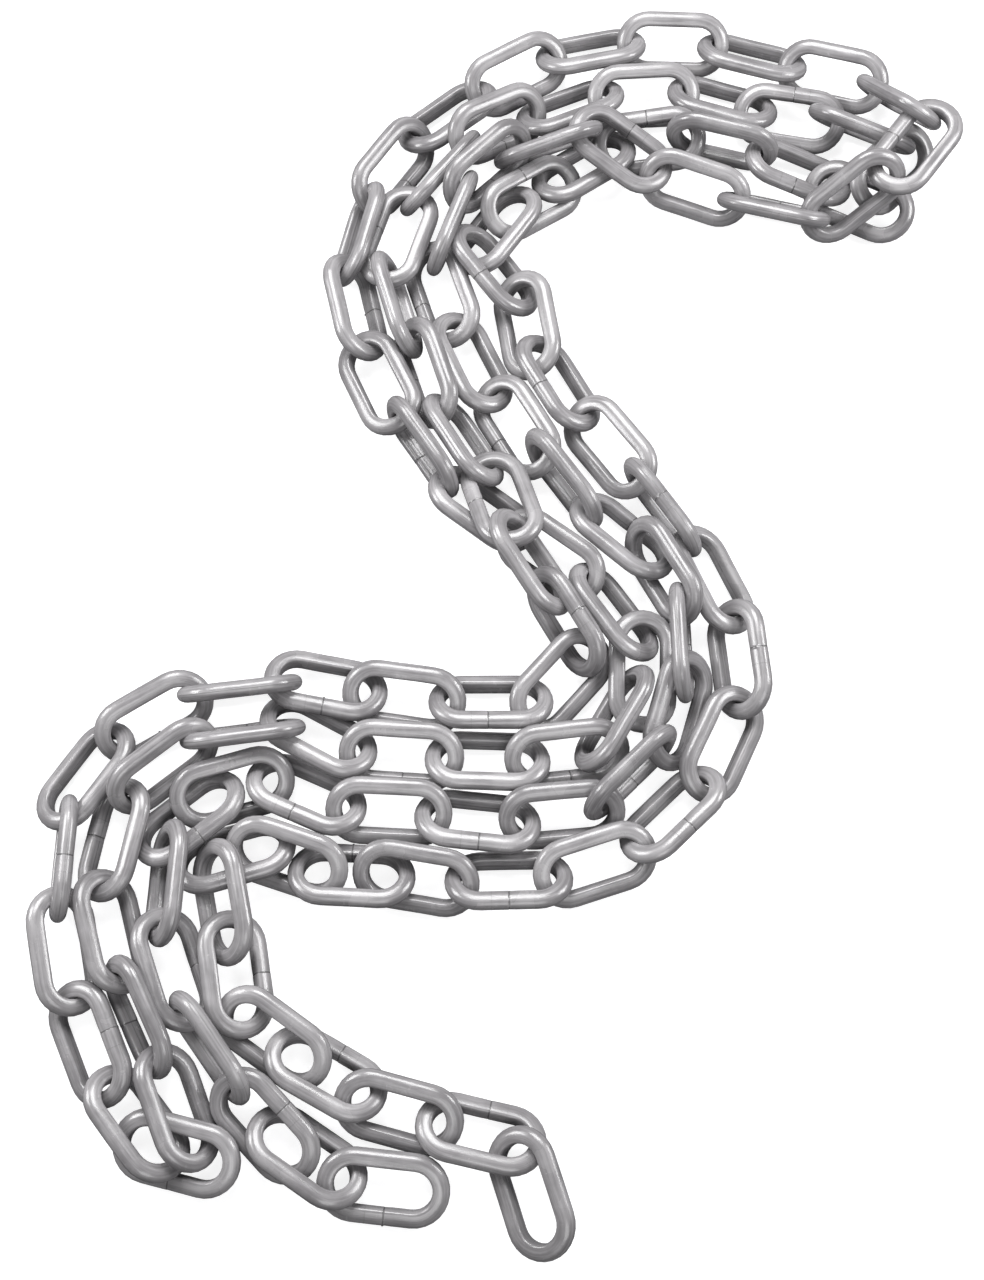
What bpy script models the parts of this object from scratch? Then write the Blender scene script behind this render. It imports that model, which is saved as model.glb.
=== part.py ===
# A heap of plastic chain lying on the floor: one length of oval links, two links in each named piece.
from math import cos, pi, sin

import bmesh
import bpy
import numpy as np
from mathutils import Matrix

# Sizes of one link, in metres
LINK_LENGTH = 0.052
LINK_WIDTH = 0.029
WIRE = 0.0072
BEND_POINTS = 6
FLAT_INWARD = pi / 8
FACET_INSET = 0.00012

# Room between links of different pieces, and how deep the two links of one piece bite
LINK_GAP = 0.0003
LINK_BITE = 0.0009

# How the links come to rest
STEPS = 2200
HOLD_UNTIL = 0.62
SINK = 0.00005
REACH = 0.056

# How each link lies, in millimetres and degrees, along the chain from its free end:
# outer end x and y, other outer end x and y, lean about its length, height held above the floor
LINKS = [
    (23, -250, 7, -202, -40, 0), (21, -206, -29, -202, 30, 0), (-13, -201, -61, -189, -45, 0),
    (-42, -191, -89, -171, 40, 0), (-68, -177, -110, -155, -45, 0), (-99, -167, -108, -117, 45, 0),
    (-106, -138, -113, -88, -60, 0), (-124, -96, -83, -93, -30, 0), (-107, -90, -60, -102, 45, 0),
    (-83, -98, -33, -102, -40, 0), (-55, -100, -6, -104, 45, 0), (-20, -104, 31, -105, -40, 0),
    (16, -103, 66, -95, 30, 0), (54, -95, 92, -62, -45, 0), (86, -72, 102, -25, 40, 0),
    (99, -39, 99, 12, -40, 0), (100, 0, 81, 47, 45, 0), (87, 36, 56, 77, -90, 0),
    (64, 65, 32, 105, -45, 0), (41, 91, 14, 134, 45, 0), (20, 117, 12, 169, -45, 0),
    (17, 157, -25, 186, 45, 0), (-15, 173, 12, 211, -15, 0), (-6, 199, 36, 208, 30, 0),
    (17, 215, 61, 230, -30, 0), (46, 240, 96, 237, 30, 0), (78, 243, 127, 227, 75, 0),
    (110, 227, 158, 214, -18, 0), (146, 216, 188, 187, 15, 0), (167, 204, 203, 236, 30, 0),
    (195, 233, 145, 248, 45, 0), (160, 245, 110, 249, -30, 0), (130, 250, 80, 262, 40, 0),
    (96, 260, 45, 261, -40, 0), (60, 262, 14, 246, 45, 0), (24, 256, -20, 228, -30, 6),
    (-7, 236, -39, 196, 45, 0), (-36, 209, -48, 158, -30, 0), (-52, 174, -33, 126, -40, 0),
    (-39, 143, -19, 94, 60, 0), (-24, 108, 0, 64, -45, 10), (-6, 80, 10, 29, 0, 20),
    (-4, 42, 36, 9, -60, 12), (24, 30, 43, -18, 45, 12), (52, -8, 10, -35, -45, 4),
    (25, -31, -26, -33, 45, 0), (-11, -33, -62, -26, -45, 0), (-42, -28, -92, -17, 22, 0),
    (-77, -24, -128, -27, 75, 0), (-117, -24, -160, -47, -45, 0), (-150, -43, -180, -82, 30, 0),
    (-172, -70, -173, -122, 75, 0), (-177, -110, -165, -160, -40, 0), (-164, -146, -150, -195, 40, 0),
    (-152, -180, -119, -219, -55, 0), (-146, -205, -97, -216, 15, 0), (-111, -218, -130, -170, 45, 0),
    (-128, -184, -146, -136, -45, 0), (-147, -150, -157, -100, 40, 0), (-158, -113, -147, -64, -30, 0),
    (-155, -72, -114, -42, 45, 0), (-127, -50, -76, -37, -75, 0), (-95, -37, -48, -54, -30, 0),
    (-63, -52, -12, -54, 45, 0), (-26, -54, 25, -55, -45, 0), (5, -54, 56, -50, 45, 0),
    (35, -54, 72, -23, -60, 0), (66, -39, 61, 8, 15, 0), (63, -16, 45, 32, 30, 0),
    (44, 14, 10, 52, -40, 0), (20, 45, -24, 66, 40, 0), (-13, 61, -43, 104, -60, 0),
    (-42, 91, -56, 140, -30, 0), (-53, 124, -64, 174, 45, 0), (-65, 160, -50, 209, -45, 0),
    (-56, 196, -27, 240, 45, 0), (-39, 234, 5, 258, -30, 0), (-10, 262, 35, 282, 30, 0),
    (22, 280, 72, 287, -30, 0), (60, 290, 110, 287, 35, 0), (98, 287, 146, 270, -40, 0),
    (134, 273, 182, 262, 45, 0), (171, 262, 209, 230, -60, 3), (200, 243, 169, 203, 15, 17),
    (182, 211, 136, 186, -45, 5), (150, 192, 102, 204, 60, 0), (116, 204, 68, 218, -60, 0),
    (80, 212, 37, 238, 0, 12), (51, 236, 1, 228, 75, 0), (16, 241, -19, 198, -75, 10),
    (-8, 213, -34, 168, -90, 0), (-30, 185, -17, 133, 30, 0), (-20, 148, 2, 99, -45, 0),
    (1, 116, 17, 69, 30, 0), (16, 89, 46, 47, 80, 0), (35, 60, 73, 25, -40, 0),
    (62, 47, 86, 4, 60, 0), (77, 18, 80, -29, -75, 0), (84, -9, 70, -58, -45, 4),
    (77, -44, 38, -79, -85, 0), (54, -76, 2, -79, -45, 0), (20, -80, -31, -79, 45, 0),
    (-17, -78, -68, -76, -45, 0), (-52, -76, -99, -60, 40, 0), (-81, -60, -132, -70, -40, 0),
    (-104, -63, -144, -92, 30, 0), (-135, -79, -131, -131, 60, 0), (-132, -116, -120, -164, -40, 0),
    (-122, -149, -99, -194, 75, 0), (-104, -184, -70, -222, 45, 0), (-94, -198, -49, -225, -40, 0),
    (-67, -222, -16, -224, 30, 0),
]

SIDE_REACH = (LINK_WIDTH - WIRE) / 2
HALF_STRAIGHT = (LINK_LENGTH - LINK_WIDTH) / 2
TURN_EASE = 1 / 0.00018


def clear_scene():
    for obj in list(bpy.data.objects):
        bpy.data.objects.remove(obj, do_unlink=True)


def plastic_material():
    material = bpy.data.materials.new("satin_grey_moulded_plastic")
    material.use_nodes = True
    shader = material.node_tree.nodes["Principled BSDF"]
    shader.inputs["Base Color"].default_value = (0.36, 0.36, 0.37, 1)
    shader.inputs["Roughness"].default_value = 0.38
    shader.inputs["Metallic"].default_value = 0
    return material


def link_outline(bend_points):
    """Centre line of a link, once round, in its own plane."""
    points = []
    for side in (1, -1):
        for step in range(bend_points):
            angle = -pi / 2 + pi * step / (bend_points - 1)
            along = HALF_STRAIGHT + SIDE_REACH * cos(angle)
            points.append((side * along, side * SIDE_REACH * sin(angle), 0))
    return points


def test_points():
    points = link_outline(10)
    for along in (-0.6, -0.2, 0.2, 0.6):
        points.append((along * HALF_STRAIGHT, SIDE_REACH, 0))
        points.append((along * HALF_STRAIGHT, -SIDE_REACH, 0))
    return np.array(points)


def turned(axes, turn):
    """The axes of each link, turned by its own small rotation vector."""
    size = np.linalg.norm(turn, axis=1)[:, None] + 1e-12
    line = (turn / size)[:, :, None]
    near = np.cos(size)[:, None]
    far = np.sin(size)[:, None]
    along = np.sum(line * axes, axis=1)[:, None, :]
    return axes * near + np.cross(line, axes, axis=1) * far + line * along * (1 - near)


def laid_out():
    """Centres and axes of the links as they are seen from above."""
    rows = np.array(LINKS, dtype=float)
    span = rows[:, 2:4] - rows[:, 0:2]
    heading = np.arctan2(span[:, 1], span[:, 0])
    lean = np.radians(rows[:, 4])
    level = np.zeros(len(rows))
    along = np.stack([np.cos(heading), np.sin(heading), level], axis=1)
    left = np.stack([-np.sin(heading), np.cos(heading), level], axis=1)
    across = left * np.cos(lean)[:, None] + np.array([0, 0, 1.0]) * np.sin(lean)[:, None]
    axes = np.stack([along, across, np.cross(along, across)], axis=2)
    centres = np.zeros((len(rows), 3))
    centres[:, :2] = (rows[:, 0:2] + rows[:, 2:4]) / 2000
    centres[:, 2] = WIRE / 2 + SIDE_REACH * np.abs(np.sin(lean)) + rows[:, 5] / 1000
    return centres, axes


def nearest_on_links(points, centres, axes):
    """The nearest point of each link's centre line to each of its test points."""
    local = np.einsum("mki,mij->mkj", points - centres[:, None, :], axes)
    along = local[..., 0]
    past = along - np.clip(along, -HALF_STRAIGHT, HALF_STRAIGHT)
    radius = np.hypot(past, local[..., 1]) + 1e-9
    near = np.stack([
        along - past + SIDE_REACH * past / radius,
        SIDE_REACH * local[..., 1] / radius,
        np.zeros_like(along),
    ], axis=-1)
    return centres[:, None, :] + np.einsum("mkj,mij->mki", near, axes)


def close_pairs(centres):
    """Links near enough to touch, which of them interlock, and how far apart their centre lines belong."""
    apart = np.linalg.norm(centres[:, None] - centres[None], axis=2)
    first, second = np.nonzero(np.triu(apart < REACH, 1))
    hooked = second - first == 1
    fused = hooked & (first // 2 == second // 2)
    return first, second, hooked, np.where(fused, WIRE - LINK_BITE, WIRE + LINK_GAP)


def contact_moves(world, centres, axes, pairs, move, turn, count):
    first, second, hooked, wanted = pairs
    for one, other in ((first, second), (second, first)):
        points = world[one]
        nearest = nearest_on_links(points, centres[other], axes[other])
        distance = np.linalg.norm(points - nearest, axis=2)
        best = np.argmin(distance, axis=1)
        row = np.arange(len(one))
        target = nearest[row, best]
        for _ in range(3):
            point = nearest_on_links(target[:, None, :], centres[one], axes[one])[:, 0]
            target = nearest_on_links(point[:, None, :], centres[other], axes[other])[:, 0]
        distance = np.linalg.norm(point - target, axis=1)
        short = wanted - distance
        push = np.where(short > 0, short, np.where(hooked, 0.6 * short, 0))
        normal = (point - target) / (distance[:, None] + 1e-9)
        arm_one = np.cross(point - centres[one], normal)
        arm_other = np.cross(target - centres[other], normal)
        give = 2 + TURN_EASE * (np.sum(arm_one ** 2, axis=1) + np.sum(arm_other ** 2, axis=1))
        step = (push / give)[:, None]
        np.add.at(move, one, step * normal)
        np.add.at(move, other, -step * normal)
        np.add.at(turn, one, step * TURN_EASE * arm_one)
        np.add.at(turn, other, -step * TURN_EASE * arm_other)
        touching = np.abs(push) > 1e-9
        np.add.at(count, one, touching)
        np.add.at(count, other, touching)


def floor_moves(world, centres, move, turn, count):
    row = np.arange(len(centres))
    lowest = world[:, :, 2].argmin(axis=1)
    point = world[row, lowest]
    dip = np.maximum(WIRE / 2 - point[:, 2], 0)
    up = np.array([0, 0, 1.0])
    arm = np.cross(point - centres, up)
    step = (dip / (1 + TURN_EASE * np.sum(arm ** 2, axis=1)))[:, None]
    move += step * up
    turn += step * TURN_EASE * arm
    count += dip > 1e-9


def settled():
    """Lets the links sink, keeps them off one another and holds them near where they were seen."""
    shape = test_points()
    centres, axes = laid_out()
    seen_centres = centres.copy()
    seen_axes = axes.copy()
    for step in range(STEPS):
        if step % 20 == 0:
            pairs = close_pairs(centres)
        world = centres[:, None, :] + np.einsum("kj,nij->nki", shape, axes)
        move = np.zeros_like(centres)
        turn = np.zeros_like(centres)
        count = np.zeros(len(centres))
        contact_moves(world, centres, axes, pairs, move, turn, count)
        floor_moves(world, centres, move, turn, count)
        share = np.minimum(1, 1.6 / np.maximum(count, 1))[:, None]
        centres = centres + move * share
        axes = turned(axes, turn * share)
        if step < STEPS * HOLD_UNTIL:
            hold = 0.03 * (1 - step / STEPS)
            centres[:, :2] += hold * (seen_centres[:, :2] - centres[:, :2])
            centres[:, 2] -= SINK
            back = 0.5 * np.sum(np.cross(axes, seen_axes, axis=1), axis=2)
            axes = turned(axes, 0.6 * hold * back)
    world = centres[:, None, :] + np.einsum("kj,nij->nki", shape, axes)
    centres[:, 2] += WIRE / 2 - world[:, :, 2].min()
    return centres, axes


def link_mesh():
    """One link: a round bar bent into a closed oval."""
    curve = bpy.data.curves.new("link_bar", "CURVE")
    curve.dimensions = "3D"
    curve.bevel_depth = WIRE / 2 - FACET_INSET
    curve.bevel_resolution = 2
    points = link_outline(BEND_POINTS)
    spline = curve.splines.new("POLY")
    spline.points.add(len(points) - 1)
    for point, place in zip(spline.points, points):
        point.co = (*place, 1)
        point.tilt = FLAT_INWARD
    spline.use_cyclic_u = True
    guide = bpy.data.objects.new("link_guide", curve)
    bpy.context.scene.collection.objects.link(guide)
    bpy.context.view_layer.update()
    mesh = bpy.data.meshes.new_from_object(guide.evaluated_get(bpy.context.evaluated_depsgraph_get()))
    bpy.data.objects.remove(guide, do_unlink=True)
    joined = bmesh.new()
    joined.from_mesh(mesh)
    bmesh.ops.remove_doubles(joined, verts=joined.verts, dist=1e-6)
    bmesh.ops.recalc_face_normals(joined, faces=joined.faces)
    joined.to_mesh(mesh)
    joined.free()
    return mesh


def link_object(name, mesh, centre, axes, collection):
    obj = bpy.data.objects.new(name, mesh)
    matrix = Matrix.Identity(4)
    for row in range(3):
        for column in range(3):
            matrix[row][column] = axes[row][column]
        matrix[row][3] = centre[row]
    obj.matrix_world = matrix
    collection.objects.link(obj)
    return obj


def centred(centres, axes):
    """Moves the heap so that the origin is under the middle of its box, at the floor."""
    shape = np.array(link_outline(24))
    world = centres[:, None, :] + np.einsum("kj,nij->nki", shape, axes)
    low = world.min(axis=(0, 1))
    high = world.max(axis=(0, 1))
    shift = (low + high) / 2
    shift[2] = low[2] - WIRE / 2
    return centres - shift


def outer_skin(mesh):
    """Drops any small closed pocket that a join leaves inside the plastic."""
    whole = bmesh.new()
    whole.from_mesh(mesh)
    left = set(whole.verts)
    skins = []
    while left:
        edge = [left.pop()]
        skin = list(edge)
        while edge:
            vert = edge.pop()
            for side in vert.link_edges:
                other = side.other_vert(vert)
                if other in left:
                    left.remove(other)
                    edge.append(other)
                    skin.append(other)
        skins.append(skin)
    skins.sort(key=len)
    for skin in skins[:-1]:
        bmesh.ops.delete(whole, geom=skin, context="VERTS")
    whole.to_mesh(mesh)
    whole.free()


def joined_links(name, first, second, collection):
    """Two links of one piece, joined where they bear on each other."""
    join = first.modifiers.new("join_link", "BOOLEAN")
    join.operation = "UNION"
    join.object = second
    bpy.context.view_layer.update()
    mesh = bpy.data.meshes.new_from_object(first.evaluated_get(bpy.context.evaluated_depsgraph_get()))
    outer_skin(mesh)
    mesh.set_sharp_from_angle(angle=0.9)
    mesh.shade_smooth()
    pair = bpy.data.objects.new(name, mesh)
    pair.matrix_world = first.matrix_world
    bpy.data.objects.remove(first, do_unlink=True)
    bpy.data.objects.remove(second, do_unlink=True)
    collection.objects.link(pair)
    return pair


def build():
    clear_scene()
    parts = bpy.data.collections.new("plastic_chain_heap")
    bpy.context.scene.collection.children.link(parts)
    centres, axes = settled()
    centres = centred(centres, axes)
    bar = link_mesh()
    bar.materials.append(plastic_material())
    for index in range(0, len(centres), 2):
        first = link_object("first_link", bar, centres[index], axes[index], parts)
        second = link_object("second_link", bar, centres[index + 1], axes[index + 1], parts)
        joined_links(f"chain_links_{index + 1:03d}_{index + 2:03d}", first, second, parts)


build()
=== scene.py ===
import math
import random

import bpy
import numpy as np
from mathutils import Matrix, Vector


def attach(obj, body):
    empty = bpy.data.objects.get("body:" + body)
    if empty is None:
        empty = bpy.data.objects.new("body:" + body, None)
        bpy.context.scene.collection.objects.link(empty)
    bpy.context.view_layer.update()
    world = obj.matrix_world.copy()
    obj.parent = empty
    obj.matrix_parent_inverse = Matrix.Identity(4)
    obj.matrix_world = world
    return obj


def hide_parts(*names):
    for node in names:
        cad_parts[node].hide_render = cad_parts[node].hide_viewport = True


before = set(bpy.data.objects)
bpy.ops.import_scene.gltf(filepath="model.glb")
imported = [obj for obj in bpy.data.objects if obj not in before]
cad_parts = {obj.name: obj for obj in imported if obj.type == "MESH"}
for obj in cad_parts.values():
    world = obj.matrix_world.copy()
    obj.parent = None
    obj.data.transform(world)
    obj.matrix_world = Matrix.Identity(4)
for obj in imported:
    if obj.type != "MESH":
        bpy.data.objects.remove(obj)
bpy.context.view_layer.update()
print("frame loaded:", len(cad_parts), "named pieces of chain")

millimetres = 1000      # in a metre
up = np.array([0, 0, 1.0])

# one link, in metres unless a line says otherwise
linkSettings = {
    "length": 0.052,
    "width": 0.029,
    "wire": 0.0072,
    "bendRings": 14,            # rings of points round each bend
    "sectionPoints": 24,        # points round the bar
    "outerReach": 0.00358,      # the bar is rounded on the outside of the link
    "innerReach": 0.0032,       # and nearly flat on the inside
    "halfThickness": 0.00348,
    "crownInset": 0.0012,       # its highest line stands this far inside the middle of the bar
    "outerSquareness": 2.15,    # 2 is round, more is fuller at the shoulders
    "innerSquareness": 3.8,
    "sideStations": (-8.2, -4.1, 0, 4.1, 8.2),      # mm, rings of points along a plain side
    # mm from the seam, rings of points along the side that has one
    "seamStations": (-6.5, -3, -1.1, -0.5, -0.24, 0, 0.24, 0.5, 1.1, 3, 6.5),
    "noSeam": 60.0,             # mm, stands for no seam near
    "seamShift": 1.6,           # mm that a seam may sit off the middle of its side
    "seamGroove": 0.00016,
    "grooveReach": 0.1,         # mm to each side of the seam
    "seamStep": 0.00007,        # one half of the bar stands this far below the other
    "stepReach": 1.5,           # mm past the seam
    "flash": 0.00042,           # squeezed-out plastic at some seams
    "flashReach": 0.3,          # mm to each side of the seam
    "flashSpread": 0.35,        # radians round the bar, to each side
    "flashChance": 0.4,
    "waviness": 0.00011,        # uneven shrinkage of the bar
    "waveCount": 3,
    "waveTurns": (2, 3, 4, 5),  # waves once round the link
    "wavePhase": 6.28,          # radians, near enough a full turn
    "firstDraw": 700,           # each link's own chances start from this and its number
}

# how the links come to rest, in metres unless a line says otherwise
restSettings = {
    "gap": 0.0003,              # kept between two links
    "bite": 0.0009,             # how far the two links of one named piece reach into each other
    "steps": 2200,
    "pairSteps": 20,            # steps between two searches for links that are near
    "holdUntil": 0.62,          # share of the steps in which links go back to where they were seen
    "hold": 0.03,               # share of the way back that a link takes in the first step
    "holdTurn": 0.6,            # turning back counts this much beside moving back
    "sink": 0.00005,            # in each of those steps
    "reach": 0.056,             # links whose middles are further apart can't touch
    "turnEase": 1 / 0.00018,    # how readily a link turns
    "slackPull": 0.6,           # how readily a slack pair of neighbours closes up
    "firmness": 1.6,            # a link takes at most this many times its contacts' mean move
    "bendPoints": 10,           # points tested round each bend
    "sidePoints": (-0.6, -0.2, 0.2, 0.6),       # and along each side
    "nearestRounds": 3,         # rounds of search for where two bars are nearest
    "measuredPoints": 24,       # points round each bend where the heap is measured
    "tiny": 1e-9,               # lengths below this count as none
    "tinyTurn": 1e-12,          # radians
}

# How each link lies, in millimetres and degrees, along the chain from its free end:
# outer end x and y, other outer end x and y, lean about its length, height held above the floor
linkRows = [
    (23, -250, 7, -202, -40, 0), (21, -206, -29, -202, 30, 0), (-13, -201, -61, -189, -45, 0),
    (-42, -191, -89, -171, 40, 0), (-68, -177, -110, -155, -45, 0),
    (-99, -167, -108, -117, 45, 0), (-106, -138, -113, -88, -60, 0),
    (-124, -96, -83, -93, -30, 0), (-107, -90, -60, -102, 45, 0), (-83, -98, -33, -102, -40, 0),
    (-55, -100, -6, -104, 45, 0), (-20, -104, 31, -105, -40, 0), (16, -103, 66, -95, 30, 0),
    (54, -95, 92, -62, -45, 0), (86, -72, 102, -25, 40, 0), (99, -39, 99, 12, -40, 0),
    (100, 0, 81, 47, 45, 0), (87, 36, 56, 77, -90, 0), (64, 65, 32, 105, -45, 0),
    (41, 91, 14, 134, 45, 0), (20, 117, 12, 169, -45, 0), (17, 157, -25, 186, 45, 0),
    (-15, 173, 12, 211, -15, 0), (-6, 199, 36, 208, 30, 0), (17, 215, 61, 230, -30, 0),
    (46, 240, 96, 237, 30, 0), (78, 243, 127, 227, 75, 0), (110, 227, 158, 214, -18, 0),
    (146, 216, 188, 187, 15, 0), (167, 204, 203, 236, 30, 0), (195, 233, 145, 248, 45, 0),
    (160, 245, 110, 249, -30, 0), (130, 250, 80, 262, 40, 0), (96, 260, 45, 261, -40, 0),
    (60, 262, 14, 246, 45, 0), (24, 256, -20, 228, -30, 6), (-7, 236, -39, 196, 45, 0),
    (-36, 209, -48, 158, -30, 0), (-52, 174, -33, 126, -40, 0), (-39, 143, -19, 94, 60, 0),
    (-24, 108, 0, 64, -45, 10), (-6, 80, 10, 29, 0, 20), (-4, 42, 36, 9, -60, 12),
    (24, 30, 43, -18, 45, 12), (52, -8, 10, -35, -45, 4), (25, -31, -26, -33, 45, 0),
    (-11, -33, -62, -26, -45, 0), (-42, -28, -92, -17, 22, 0), (-77, -24, -128, -27, 75, 0),
    (-117, -24, -160, -47, -45, 0), (-150, -43, -180, -82, 30, 0), (-172, -70, -173, -122, 75, 0),
    (-177, -110, -165, -160, -40, 0), (-164, -146, -150, -195, 40, 0),
    (-152, -180, -119, -219, -55, 0), (-146, -205, -97, -216, 15, 0),
    (-111, -218, -130, -170, 45, 0), (-128, -184, -146, -136, -45, 0),
    (-147, -150, -157, -100, 40, 0), (-158, -113, -147, -64, -30, 0),
    (-155, -72, -114, -42, 45, 0), (-127, -50, -76, -37, -75, 0), (-95, -37, -48, -54, -30, 0),
    (-63, -52, -12, -54, 45, 0), (-26, -54, 25, -55, -45, 0), (5, -54, 56, -50, 45, 0),
    (35, -54, 72, -23, -60, 0), (66, -39, 61, 8, 15, 0), (63, -16, 45, 32, 30, 0),
    (44, 14, 10, 52, -40, 0), (20, 45, -24, 66, 40, 0), (-13, 61, -43, 104, -60, 0),
    (-42, 91, -56, 140, -30, 0), (-53, 124, -64, 174, 45, 0), (-65, 160, -50, 209, -45, 0),
    (-56, 196, -27, 240, 45, 0), (-39, 234, 5, 258, -30, 0), (-10, 262, 35, 282, 30, 0),
    (22, 280, 72, 287, -30, 0), (60, 290, 110, 287, 35, 0), (98, 287, 146, 270, -40, 0),
    (134, 273, 182, 262, 45, 0), (171, 262, 209, 230, -60, 3), (200, 243, 169, 203, 15, 17),
    (182, 211, 136, 186, -45, 5), (150, 192, 102, 204, 60, 0), (116, 204, 68, 218, -60, 0),
    (80, 212, 37, 238, 0, 12), (51, 236, 1, 228, 75, 0), (16, 241, -19, 198, -75, 10),
    (-8, 213, -34, 168, -90, 0), (-30, 185, -17, 133, 30, 0), (-20, 148, 2, 99, -45, 0),
    (1, 116, 17, 69, 30, 0), (16, 89, 46, 47, 80, 0), (35, 60, 73, 25, -40, 0),
    (62, 47, 86, 4, 60, 0), (77, 18, 80, -29, -75, 0), (84, -9, 70, -58, -45, 4),
    (77, -44, 38, -79, -85, 0), (54, -76, 2, -79, -45, 0), (20, -80, -31, -79, 45, 0),
    (-17, -78, -68, -76, -45, 0), (-52, -76, -99, -60, 40, 0), (-81, -60, -132, -70, -40, 0),
    (-104, -63, -144, -92, 30, 0), (-135, -79, -131, -131, 60, 0),
    (-132, -116, -120, -164, -40, 0), (-122, -149, -99, -194, 75, 0),
    (-104, -184, -70, -222, 45, 0), (-94, -198, -49, -225, -40, 0), (-67, -222, -16, -224, 30, 0),
]

# links that were closed afterwards and lie with the seam on their higher side
raisedSeams = {
    8, 12, 14, 16, 18, 20, 22, 24, 26, 28, 32, 42, 44, 46, 48, 52, 54, 102, 104, 106, 110,
}

# of the centre line: half its width, and half the length of a side
sideReach = (linkSettings["width"] - linkSettings["wire"]) / 2
halfStraight = (linkSettings["length"] - linkSettings["width"]) / 2


def linkOutline(bendPoints):
    # centre line of a link, once round, in its own plane
    points = []
    for side in (1, -1):
        for step in range(bendPoints):
            angle = -math.pi / 2 + math.pi * step / (bendPoints - 1)
            along = halfStraight + sideReach * math.cos(angle)
            points.append((side * along, side * sideReach * math.sin(angle), 0))
    return points


def testPoints():
    # points of the centre line that are tested for contact
    points = linkOutline(restSettings["bendPoints"])
    for along in restSettings["sidePoints"]:
        points.append((along * halfStraight, sideReach, 0))
        points.append((along * halfStraight, -sideReach, 0))
    return np.array(points)


def onEachLink(shape, centres, axes):
    # the points of one shape, placed on every link
    return centres[:, None, :] + np.einsum("kj,nij->nki", shape, axes)


def turnAxes(axes, turn):
    # each link's axes turned about its own line
    size = np.linalg.norm(turn, axis=1)[:, None] + restSettings["tinyTurn"]
    line = (turn / size)[:, :, None]
    near = np.cos(size)[:, None]
    far = np.sin(size)[:, None]
    along = np.sum(line * axes, axis=1)[:, None, :]
    return axes * near + np.cross(line, axes, axis=1) * far + line * along * (1 - near)


def layOut():
    # middle and axes of each link as it was seen
    rows = np.array(linkRows, dtype=float)
    span = rows[:, 2:4] - rows[:, 0:2]
    heading = np.arctan2(span[:, 1], span[:, 0])
    lean = np.radians(rows[:, 4])
    level = np.zeros(len(rows))
    along = np.stack([np.cos(heading), np.sin(heading), level], axis=1)
    left = np.stack([-np.sin(heading), np.cos(heading), level], axis=1)
    across = left * np.cos(lean)[:, None] + up * np.sin(lean)[:, None]
    axes = np.stack([along, across, np.cross(along, across)], axis=2)
    centres = np.zeros((len(rows), 3))
    centres[:, :2] = (rows[:, 0:2] + rows[:, 2:4]) / (2 * millimetres)
    lift = linkSettings["wire"] / 2 + sideReach * np.abs(np.sin(lean))
    centres[:, 2] = lift + rows[:, 5] / millimetres
    return centres, axes


def nearestOnLinks(points, centres, axes):
    # the nearest point of each link's centre line to each point given for it
    local = np.einsum("mki,mij->mkj", points - centres[:, None, :], axes)
    along = local[..., 0]
    past = along - np.clip(along, -halfStraight, halfStraight)
    radius = np.hypot(past, local[..., 1]) + restSettings["tiny"]
    near = np.stack([
        along - past + sideReach * past / radius,
        sideReach * local[..., 1] / radius,
        np.zeros_like(along),
    ], axis=-1)
    return centres[:, None, :] + np.einsum("mkj,mij->mki", near, axes)


def closePairs(centres):
    # links near enough to touch, and how far apart their centre lines have to be
    wire = linkSettings["wire"]
    apart = np.linalg.norm(centres[:, None] - centres[None], axis=2)
    first, second = np.nonzero(np.triu(apart < restSettings["reach"], 1))
    hooked = second - first == 1
    fused = hooked & (first // 2 == second // 2)
    wanted = np.where(fused, wire - restSettings["bite"], wire + restSettings["gap"])
    return first, second, hooked, wanted


def contactMoves(world, centres, axes, pairs, move, turn, count):
    # moves and turns that part links which are too close, or close up slack neighbours
    first, second, hooked, wanted = pairs
    ease = restSettings["turnEase"]
    for one, other in ((first, second), (second, first)):
        points = world[one]
        nearest = nearestOnLinks(points, centres[other], axes[other])
        distance = np.linalg.norm(points - nearest, axis=2)
        best = np.argmin(distance, axis=1)
        row = np.arange(len(one))
        target = nearest[row, best]
        for _ in range(restSettings["nearestRounds"]):
            point = nearestOnLinks(target[:, None, :], centres[one], axes[one])[:, 0]
            target = nearestOnLinks(point[:, None, :], centres[other], axes[other])[:, 0]
        distance = np.linalg.norm(point - target, axis=1)
        short = wanted - distance
        slack = restSettings["slackPull"] * short
        push = np.where(short > 0, short, np.where(hooked, slack, 0))
        normal = (point - target) / (distance[:, None] + restSettings["tiny"])
        armOne = np.cross(point - centres[one], normal)
        armOther = np.cross(target - centres[other], normal)
        give = 2 + ease * (np.sum(armOne ** 2, axis=1) + np.sum(armOther ** 2, axis=1))
        step = (push / give)[:, None]
        np.add.at(move, one, step * normal)
        np.add.at(move, other, -step * normal)
        np.add.at(turn, one, step * ease * armOne)
        np.add.at(turn, other, -step * ease * armOther)
        touching = np.abs(push) > restSettings["tiny"]
        np.add.at(count, one, touching)
        np.add.at(count, other, touching)


def floorMoves(world, centres, move, turn, count):
    # moves and turns that lift links out of the floor
    row = np.arange(len(centres))
    lowest = world[:, :, 2].argmin(axis=1)
    point = world[row, lowest]
    dip = np.maximum(linkSettings["wire"] / 2 - point[:, 2], 0)
    arm = np.cross(point - centres, up)
    ease = restSettings["turnEase"]
    step = (dip / (1 + ease * np.sum(arm ** 2, axis=1)))[:, None]
    move += step * up
    turn += step * ease * arm
    count += dip > restSettings["tiny"]


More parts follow.
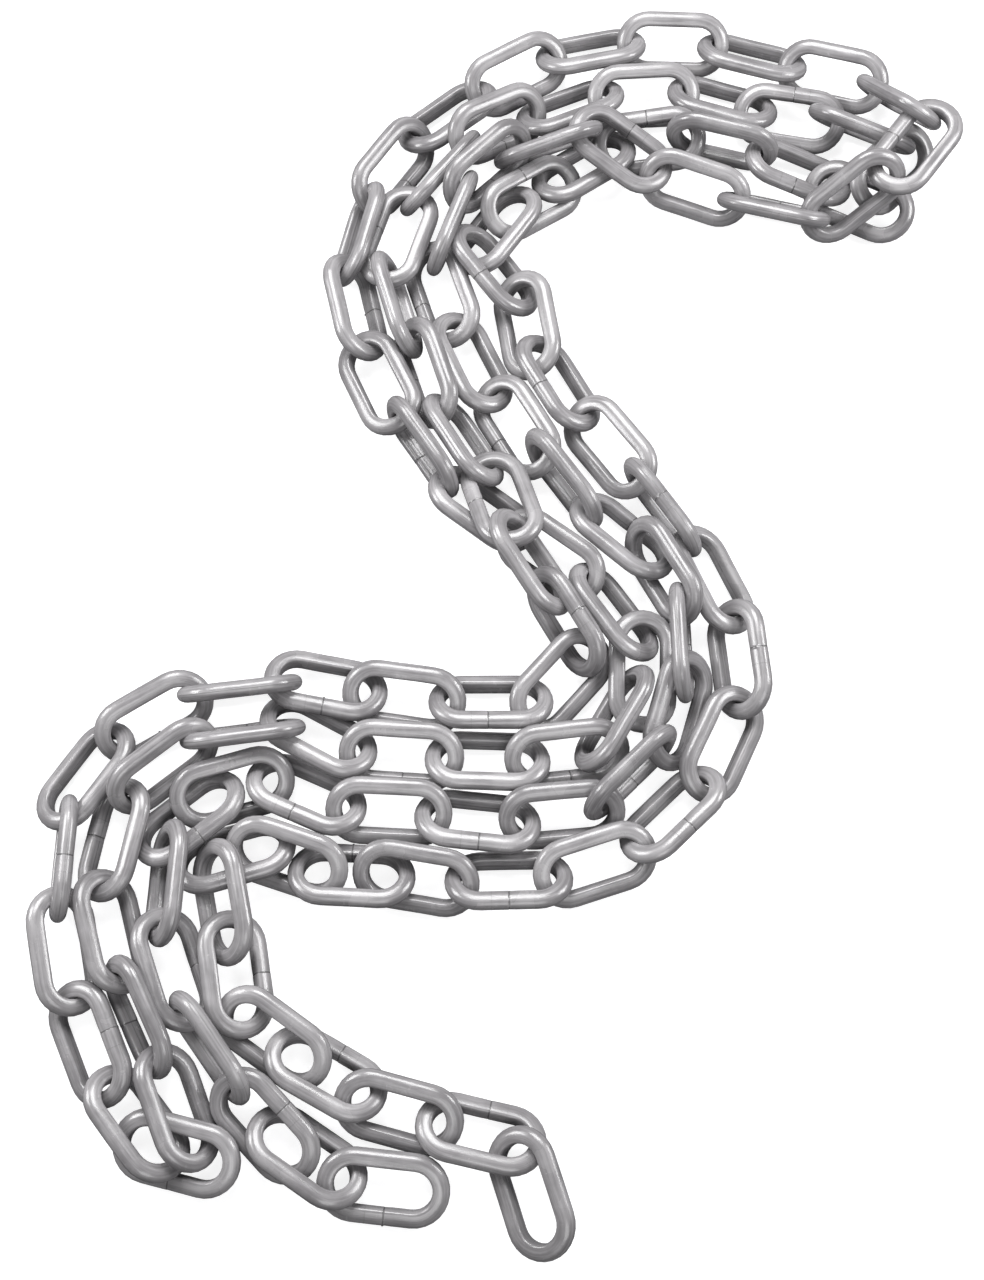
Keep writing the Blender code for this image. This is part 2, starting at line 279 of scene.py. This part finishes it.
def settleLinks():
    # the links sink, keep off one another and stay near where they were seen
    shape = testPoints()
    centres, axes = layOut()
    seenCentres = centres.copy()
    seenAxes = axes.copy()
    s = restSettings
    steps = s["steps"]
    for step in range(steps):
        if step % s["pairSteps"] == 0:
            pairs = closePairs(centres)
        world = onEachLink(shape, centres, axes)
        move = np.zeros_like(centres)
        turn = np.zeros_like(centres)
        count = np.zeros(len(centres))
        contactMoves(world, centres, axes, pairs, move, turn, count)
        floorMoves(world, centres, move, turn, count)
        share = np.minimum(1, s["firmness"] / np.maximum(count, 1))[:, None]
        centres = centres + move * share
        axes = turnAxes(axes, turn * share)
        if step < steps * s["holdUntil"]:
            hold = s["hold"] * (1 - step / steps)
            centres[:, :2] += hold * (seenCentres[:, :2] - centres[:, :2])
            centres[:, 2] -= s["sink"]
            # half the cross products' sum turns the axes back, while they are near
            back = 0.5 * np.sum(np.cross(axes, seenAxes, axis=1), axis=2)
            axes = turnAxes(axes, s["holdTurn"] * hold * back)
    world = onEachLink(shape, centres, axes)
    centres[:, 2] += linkSettings["wire"] / 2 - world[:, :, 2].min()
    return centres, axes


def centreHeap(centres, axes):
    # the origin is under the middle of the heap, at the floor
    shape = np.array(linkOutline(restSettings["measuredPoints"]))
    world = onEachLink(shape, centres, axes)
    low = world.min(axis=(0, 1))
    high = world.max(axis=(0, 1))
    shift = (low + high) / 2
    shift[2] = low[2] - linkSettings["wire"] / 2
    return centres - shift


def addNode(tree, kind, settings=None, links=None):
    # one node with its settings, and either a value or a link for each named socket
    node = tree.nodes.new(kind)
    for name, value in (settings or {}).items():
        setattr(node, name, value)
    for socket, value in (links or {}).items():
        if isinstance(value, bpy.types.NodeSocket):
            tree.links.new(value, node.inputs[socket])
        else:
            node.inputs[socket].default_value = value
    return node


def linearColour(hexColour):
    # sRGB hex to linear red, green, blue and full alpha
    channels = []
    for start in (1, 3, 5):
        level = int(hexColour[start:start + 2], 16) / 255
        linear = level / 12.92 if level <= 0.04045 else ((level + 0.055) / 1.055) ** 2.4
        channels.append(linear)
    return (*channels, 1)


# Injection-moulded polyethylene, silver grey and satin from the mould: a soft broad sheen with a
# thin bright line on the crowns, faint flow streaks, rubbed spots and a fine skin like orange peel
plasticSettings = {
    "deepColour": "#747274",
    "paleColour": "#9c9a9c",
    "seamColour": "#454445",
    "rubbedColour": "#a8a6a8",
    "roughness": (0.2, 0.34),
    "ior": 1.51,
    "specular": 0.8,
    "linkApart": (310.0, 170.0, 90.0),      # mm, so that no two links share a pattern
    "cloudSize": 14.0,       # mm, drifting tone of the pigment
    "streakSize": 1.0,       # mm between flow streaks
    "streakStretch": 0.06,   # their scale along the bar beside that across it
    "streakTone": 1.1,       # how much streaks count beside the drifting tone
    "linkTone": 0.3,         # how much each link's own tone counts
    "toneRange": (0.75, 1.65),      # their sum where the plastic is deepest and palest
    "rubSize": 3.2,          # mm, spots where links have rubbed
    "rubRange": (0.6, 0.76),        # noise where a rubbed spot begins and where it is full
    "rubShare": 0.25,
    "rubRoughness": 0.5,     # how much a rubbed spot counts beside the drifting tone
    "sheenRange": (0.3, 0.9),       # their sum where the skin is smoothest and roughest
    "seamWidth": 0.17,       # mm, half the dark line of a seam
    "seamEdge": 2.4,         # the line has faded out at this many half widths
    "seamShare": 0.75,       # of the seam's colour
    "halfShare": 0.3,        # one half of a closed bar is this much deeper at the seam
    "halfFade": 9.0,         # mm, where that has faded out
    "partingWidth": 0.16,    # mm, half the parting line of the mould
    "partingEdges": (0.4, 2),       # half widths, where it is full and where it has faded out
    "partingShare": 0.3,     # of the seam's colour
    "peelSize": 0.55,        # mm, really about 0.2 and drawn coarse enough to show
    "reliefDepth": 0.00004,  # metres
    "reliefStrength": 0.6,
    "streakHeight": 1.6,     # heights beside that of the skin's own grain
    "partingHeight": 2.2,
    "seamHeight": -3.0,
}


def polyethyleneMaterial():
    s = plasticSettings
    material = bpy.data.materials.new("satinMouldedPolyethylene")
    material.use_nodes = True
    tree = material.node_tree
    tree.nodes.clear()
    place = addNode(tree, "ShaderNodeAttribute",
                    {"attribute_name": "linkPlace"}).outputs["Vector"]
    tone = addNode(tree, "ShaderNodeAttribute", {"attribute_name": "linkTone"}).outputs["Fac"]
    seam = addNode(tree, "ShaderNodeAttribute",
                   {"attribute_name": "seamDistance"}).outputs["Fac"]
    apart = addNode(tree, "ShaderNodeVectorMath", {"operation": "SCALE"},
                    {0: s["linkApart"], "Scale": tone}).outputs[0]
    own = addNode(tree, "ShaderNodeVectorMath", {"operation": "ADD"},
                  {0: place, 1: apart}).outputs[0]
    barPlace = addNode(tree, "ShaderNodeAttribute",
                       {"attribute_name": "barPlace"}).outputs["Vector"]
    bar = addNode(tree, "ShaderNodeVectorMath", {"operation": "ADD"},
                  {0: barPlace, 1: apart}).outputs[0]

    # tone of the plastic
    cloud = addNode(tree, "ShaderNodeTexNoise", {}, {
        "Vector": own, "Scale": 1 / s["cloudSize"],
        "Detail": 3.0, "Roughness": 0.55}).outputs["Fac"]
    stretched = addNode(tree, "ShaderNodeVectorMath", {"operation": "MULTIPLY"},
                        {0: bar, 1: (s["streakStretch"], 1.0, 1.0)}).outputs[0]
    streak = addNode(tree, "ShaderNodeTexNoise", {}, {
        "Vector": stretched, "Scale": 1 / s["streakSize"], "Detail": 2.0}).outputs["Fac"]
    mixed = addNode(tree, "ShaderNodeMath", {"operation": "MULTIPLY_ADD"},
                    {0: streak, 1: s["streakTone"], 2: cloud}).outputs[0]
    toned = addNode(tree, "ShaderNodeMath", {"operation": "MULTIPLY_ADD"},
                    {0: tone, 1: s["linkTone"], 2: mixed}).outputs[0]
    share = addNode(tree, "ShaderNodeMapRange", {"interpolation_type": "SMOOTHSTEP"}, {
        "Value": toned, "From Min": s["toneRange"][0], "From Max": s["toneRange"][1],
        "To Min": 0.0, "To Max": 1.0}).outputs[0]
    base = addNode(tree, "ShaderNodeMix", {"data_type": "RGBA"}, {
        0: share, 6: linearColour(s["deepColour"]), 7: linearColour(s["paleColour"])}).outputs[2]

    # rubbed spots, paler
    rub = addNode(tree, "ShaderNodeTexNoise", {}, {
        "Vector": own, "Scale": 1 / s["rubSize"], "Detail": 4.0, "Roughness": 0.7}).outputs["Fac"]
    rubbed = addNode(tree, "ShaderNodeMapRange", {"interpolation_type": "SMOOTHSTEP"}, {
        "Value": rub, "From Min": s["rubRange"][0], "From Max": s["rubRange"][1],
        "To Min": 0.0, "To Max": s["rubShare"]}).outputs[0]
    worn = addNode(tree, "ShaderNodeMix", {"data_type": "RGBA"}, {
        0: rubbed, 6: base, 7: linearColour(s["rubbedColour"])}).outputs[2]

    # the butt seam across one side: a dark line with the two halves a shade apart
    seamOff = addNode(tree, "ShaderNodeMath", {"operation": "ABSOLUTE"}, {0: seam}).outputs[0]
    seamLine = addNode(tree, "ShaderNodeMapRange", {"interpolation_type": "SMOOTHSTEP"}, {
        "Value": seamOff, "From Min": s["seamWidth"], "From Max": s["seamWidth"] * s["seamEdge"],
        "To Min": s["seamShare"], "To Max": 0.0}).outputs[0]
    firstHalf = addNode(tree, "ShaderNodeMapRange", {}, {
        "Value": seam, "From Min": 0.0, "From Max": s["halfFade"],
        "To Min": s["halfShare"], "To Max": 0.0}).outputs[0]
    pastSeam = addNode(tree, "ShaderNodeMath", {"operation": "GREATER_THAN"},
                       {0: seam, 1: 0.0}).outputs[0]
    halfShade = addNode(tree, "ShaderNodeMath", {"operation": "MULTIPLY"},
                        {0: firstHalf, 1: pastSeam}).outputs[0]
    shaded = addNode(tree, "ShaderNodeMix", {"data_type": "RGBA"}, {
        0: halfShade, 6: worn, 7: linearColour(s["deepColour"])}).outputs[2]
    lined = addNode(tree, "ShaderNodeMix", {"data_type": "RGBA"}, {
        0: seamLine, 6: shaded, 7: linearColour(s["seamColour"])}).outputs[2]

    # the parting line that the two halves of the mould leave round the link
    thickness = addNode(tree, "ShaderNodeSeparateXYZ", {}, {0: place}).outputs["Z"]
    offLine = addNode(tree, "ShaderNodeMath", {"operation": "ABSOLUTE"}, {0: thickness}).outputs[0]
    parting = addNode(tree, "ShaderNodeMapRange", {"interpolation_type": "SMOOTHSTEP"}, {
        "Value": offLine, "From Min": s["partingWidth"] * s["partingEdges"][0],
        "From Max": s["partingWidth"] * s["partingEdges"][1],
        "To Min": 1.0, "To Max": 0.0}).outputs[0]
    partingShade = addNode(tree, "ShaderNodeMath", {"operation": "MULTIPLY"},
                           {0: parting, 1: s["partingShare"]}).outputs[0]
    colour = addNode(tree, "ShaderNodeMix", {"data_type": "RGBA"}, {
        0: partingShade, 6: lined, 7: linearColour(s["seamColour"])}).outputs[2]

    # sheen, rougher on the rubbed spots
    coarser = addNode(tree, "ShaderNodeMath", {"operation": "MULTIPLY_ADD"},
                      {0: rubbed, 1: s["rubRoughness"], 2: cloud}).outputs[0]
    sheen = addNode(tree, "ShaderNodeMapRange", {}, {
        "Value": coarser, "From Min": s["sheenRange"][0], "From Max": s["sheenRange"][1],
        "To Min": s["roughness"][0], "To Max": s["roughness"][1]}).outputs[0]

    # skin, streaks, seam and parting line in relief
    peel = addNode(tree, "ShaderNodeTexNoise", {}, {
        "Vector": own, "Scale": 1 / s["peelSize"], "Detail": 2.0, "Roughness": 0.5}).outputs["Fac"]
    ripple = addNode(tree, "ShaderNodeMath", {"operation": "MULTIPLY_ADD"},
                     {0: streak, 1: s["streakHeight"], 2: peel}).outputs[0]
    ridged = addNode(tree, "ShaderNodeMath", {"operation": "MULTIPLY_ADD"},
                     {0: parting, 1: s["partingHeight"], 2: ripple}).outputs[0]
    relief = addNode(tree, "ShaderNodeMath", {"operation": "MULTIPLY_ADD"},
                     {0: seamLine, 1: s["seamHeight"], 2: ridged}).outputs[0]
    bump = addNode(tree, "ShaderNodeBump", {}, {
        "Strength": s["reliefStrength"], "Distance": s["reliefDepth"],
        "Height": relief}).outputs[0]

    shader = addNode(tree, "ShaderNodeBsdfPrincipled", {}, {
        "Base Color": colour, "Roughness": sheen, "Normal": bump,
        "IOR": s["ior"], "Specular IOR Level": s["specular"], "Metallic": 0.0})
    addNode(tree, "ShaderNodeOutputMaterial", {}, {"Surface": shader.outputs[0]})
    return material


def ringsRound(seamSide, seamShift):
    # where the rings of the bar stand: centre, heading and distance from the seam, once round
    s = linkSettings
    rings = []
    for side in (1, -1):
        for step in range(s["bendRings"] + 1):
            angle = -math.pi / 2 + math.pi * step / s["bendRings"]
            along = halfStraight + sideReach * math.cos(angle)
            facing = angle if side == 1 else angle + math.pi
            across = side * sideReach * math.sin(angle)
            rings.append((side * along, across, facing, s["noSeam"]))
        here = side == seamSide
        stations = s["seamStations"] if here else s["sideStations"]
        shift = seamShift if here else 0
        facing = math.pi / 2 if side == 1 else -math.pi / 2
        for station in stations:
            along = (station + shift) / millimetres
            distance = station if here else s["noSeam"]
            rings.append((-side * along, side * sideReach, facing, distance))
    return rings


def shapedSection(section, station, chance):
    # a point of the skin round the bar: outwards in the link's plane, and across it
    s = linkSettings
    outer = math.cos(section) > 0
    power = 2 / (s["outerSquareness"] if outer else s["innerSquareness"])
    reach = s["outerReach"] + s["crownInset"] if outer else s["innerReach"] - s["crownInset"]
    out = math.copysign(abs(math.cos(section)) ** power, math.cos(section)) * reach
    across = math.copysign(abs(math.sin(section)) ** power, math.sin(section)) * s["halfThickness"]
    proud = 0
    if abs(station) < s["grooveReach"]:
        proud -= s["seamGroove"]
    elif 0 < station < s["stepReach"]:
        proud -= s["seamStep"]
    if abs(station) < s["flashReach"] and chance["flash"]:
        off = abs((section - chance["flashAt"] + math.pi) % (2 * math.pi) - math.pi)
        if off < s["flashSpread"]:
            proud += s["flash"]
    out = out * (1 + proud / reach) - s["crownInset"]
    return out, across * (1 + proud / s["halfThickness"])


def drawChances(luck):
    # what differs from link to link
    s = linkSettings
    phase = s["wavePhase"]
    return {
        "flash": luck.random() < s["flashChance"],
        "flashAt": luck.uniform(-math.pi, math.pi),
        "waves": [
            (luck.choice(s["waveTurns"]), luck.uniform(0, phase), luck.uniform(0, phase))
            for _ in range(s["waveCount"])
        ],
        "tone": luck.random(),
        "seamShift": luck.uniform(-s["seamShift"], s["seamShift"]),
    }


def linkSkin(rings, chance):
    # points of the skin, each with its distance from the seam and its place along and round the bar
    s = linkSettings
    places, seams, bars = [], [], []
    steps = [math.dist(rings[index][:2], rings[index - 1][:2]) for index in range(len(rings))]
    lapLength = sum(steps)
    gone = 0
    for index, (x, y, facing, station) in enumerate(rings):
        gone += steps[index]
        # millimetres along the bar, there and back, so that the ends meet
        along = millimetres * min(gone, lapLength - gone)
        lap = 2 * math.pi * gone / lapLength
        for step in range(s["sectionPoints"]):
            # half a step on, so that the points lie evenly to both sides of the crown
            section = 2 * math.pi * (step + 0.5) / s["sectionPoints"]
            out, across = shapedSection(section, station, chance)
            for turns, phase, lean in chance["waves"]:
                height = s["waviness"] / s["waveCount"]
                wave = height * math.sin(turns * lap + phase) * math.cos(section + lean)
                out += wave * math.cos(section)
                across += wave * math.sin(section)
            places.append((x + out * math.cos(facing), y + out * math.sin(facing), across))
            seams.append(station)
            bars.append((along, millimetres * out, millimetres * across))
    return np.array(places), seams, np.array(bars)


def linkFaces(ringCount):
    # four-sided faces from each ring of points to the next, once round
    count = linkSettings["sectionPoints"]
    faces = []
    for ring in range(ringCount):
        here = ring * count
        after = ((ring + 1) % ringCount) * count
        for step in range(count):
            beside = (step + 1) % count
            faces.append((here + step, after + step, after + beside, here + beside))
    return faces


def keepOnPoints(mesh, name, kind, values):
    # a value or a vector for each point of the mesh, for the material
    attribute = mesh.attributes.new(name, kind, "POINT")
    attribute.data.foreach_set("value" if kind == "FLOAT" else "vector", values)


def linkMesh(number, seamSide, centre, axes):
    chance = drawChances(random.Random(linkSettings["firstDraw"] + number))
    rings = ringsRound(seamSide, chance["seamShift"])
    own, seams, bars = linkSkin(rings, chance)
    faces = linkFaces(len(rings))
    mesh = bpy.data.meshes.new(f"linkSkin{number:03d}")
    mesh.from_pydata((centre + own @ axes.T).tolist(), [], faces)
    keepOnPoints(mesh, "linkPlace", "FLOAT_VECTOR", (millimetres * own).ravel())
    keepOnPoints(mesh, "barPlace", "FLOAT_VECTOR", bars.ravel())
    keepOnPoints(mesh, "linkTone", "FLOAT", [chance["tone"]] * len(own))
    keepOnPoints(mesh, "seamDistance", "FLOAT", seams)
    mesh.polygons.foreach_set("use_smooth", [True] * len(faces))
    mesh.update()
    return mesh


def makeChain(material):
    centres, axes = settleLinks()
    centres = centreHeap(centres, axes)
    print("links settled:", len(centres))
    for index in range(len(centres)):
        number = index + 1
        across = axes[index][:, 1]
        higher = 1 if across[2] > 0 else -1
        seamSide = higher if number in raisedSeams else -higher
        if number % 2:
            seamSide = 0      # moulded whole: only every second link was closed afterwards
        mesh = linkMesh(number, seamSide, centres[index], axes[index])
        mesh.materials.append(material)
        link = bpy.data.objects.new(f"chainLink{number:03d}", mesh)
        bpy.context.scene.collection.objects.link(link)
        first = number - (number + 1) % 2
        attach(link, "root")
        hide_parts(f"chain_links_{first:03d}_{first + 1:03d}")
    print("links made:", len(centres))


# a lit white table top, and the grey board under it that gives the chain its darker undersides
floorSettings = {
    "topColour": "#b0b0b2",
    "topGlow": 0.84,
    "boardColour": "#6e6e70",
    "size": 40.0,               # wide, so that the chain still lies on it in low views
    "boardDepth": 0.0006,
    "roughness": 0.9,
    "specular": 0.1,
}


def floorPlane(name, material, height):
    # a level square, as wide as the floor
    half = floorSettings["size"] / 2
    corners = [(-half, -half, height), (half, -half, height),
               (half, half, height), (-half, half, height)]
    mesh = bpy.data.meshes.new(name)
    mesh.from_pydata(corners, [], [(0, 1, 2, 3)])
    mesh.materials.append(material)
    floor = bpy.data.objects.new(name, mesh)
    bpy.context.scene.collection.objects.link(floor)
    return floor


def floorMaterial(name, hexColour, glow):
    material = bpy.data.materials.new(name)
    material.use_nodes = True
    shader = material.node_tree.nodes["Principled BSDF"]
    shader.inputs["Base Color"].default_value = linearColour(hexColour)
    shader.inputs["Roughness"].default_value = floorSettings["roughness"]
    shader.inputs["Specular IOR Level"].default_value = floorSettings["specular"]
    shader.inputs["Emission Color"].default_value = (1, 1, 1, 1)
    shader.inputs["Emission Strength"].default_value = glow
    return material


def makeFloor():
    s = floorSettings
    top = floorPlane("tableTop", floorMaterial("litWhiteAcrylic", s["topColour"], s["topGlow"]), 0)
    # the top is seen by the camera only, and the board by everything else
    top.visible_diffuse = False
    top.visible_glossy = False
    top.visible_shadow = False
    boardMaterial = floorMaterial("mattGreyBoard", s["boardColour"], 0)
    board = floorPlane("tableBoard", boardMaterial, -s["boardDepth"])
    board.visible_camera = False


# place and aim in metres; the frame is 984 x 1280 and the lens spans 1280 of its pixels in height
cameraSettings = {
    "place": (-0.01108, -0.27235, 0.77756),
    "aim": (-0.01108, -0.02425, 0.00006),
    "focalPixels": 1927.3,
    "framePixels": 1280,
    "sensor": 24.0,             # mm
    "nearest": 0.02,
}


def makeCamera():
    s = cameraSettings
    data = bpy.data.cameras.new("studioCamera")
    data.sensor_fit = "VERTICAL"
    data.sensor_height = s["sensor"]
    data.lens = s["focalPixels"] / s["framePixels"] * s["sensor"]
    data.clip_start = s["nearest"]
    camera = bpy.data.objects.new("studioCamera", data)
    camera.location = s["place"]
    look = Vector(s["aim"]) - Vector(s["place"])
    camera.rotation_euler = look.to_track_quat("-Z", "Y").to_euler()
    bpy.context.scene.collection.objects.link(camera)
    bpy.context.scene.camera = camera


# each softbox: place, the point that it faces, width, watts
lightSettings = {
    "softboxes": [
        ("backSoftbox", (-0.1, 0.6, 0.95), (0, 0, 0), 0.6, 13.0),
        ("frontSoftbox", (0.1, -0.75, 0.9), (0, 0, 0), 0.6, 3.4),
        ("leftSoftbox", (-0.6, 0.12, 0.42), (-0.1, 0, 0), 0.32, 3.6),
        ("rightSoftbox", (0.6, 0.12, 0.42), (0.1, 0, 0), 0.32, 3.6),
    ],
    "roomColour": "#ffffff",
    "roomLevel": 0.12,
}


def makeLights():
    for name, place, aim, width, watts in lightSettings["softboxes"]:
        data = bpy.data.lights.new(name, "AREA")
        data.shape = "SQUARE"
        data.size = width
        data.energy = watts
        lamp = bpy.data.objects.new(name, data)
        lamp.location = place
        lamp.rotation_euler = (Vector(aim) - Vector(place)).to_track_quat("-Z", "Y").to_euler()
        bpy.context.scene.collection.objects.link(lamp)
    world = bpy.data.worlds.new("paleRoom")
    world.use_nodes = True
    background = world.node_tree.nodes["Background"]
    background.inputs["Color"].default_value = linearColour(lightSettings["roomColour"])
    background.inputs["Strength"].default_value = lightSettings["roomLevel"]
    bpy.context.scene.world = world
    bpy.context.scene.view_settings.view_transform = "Standard"


makeCamera()
makeLights()
makeFloor()
print("camera, lights and floor placed")
makeChain(polyethyleneMaterial())
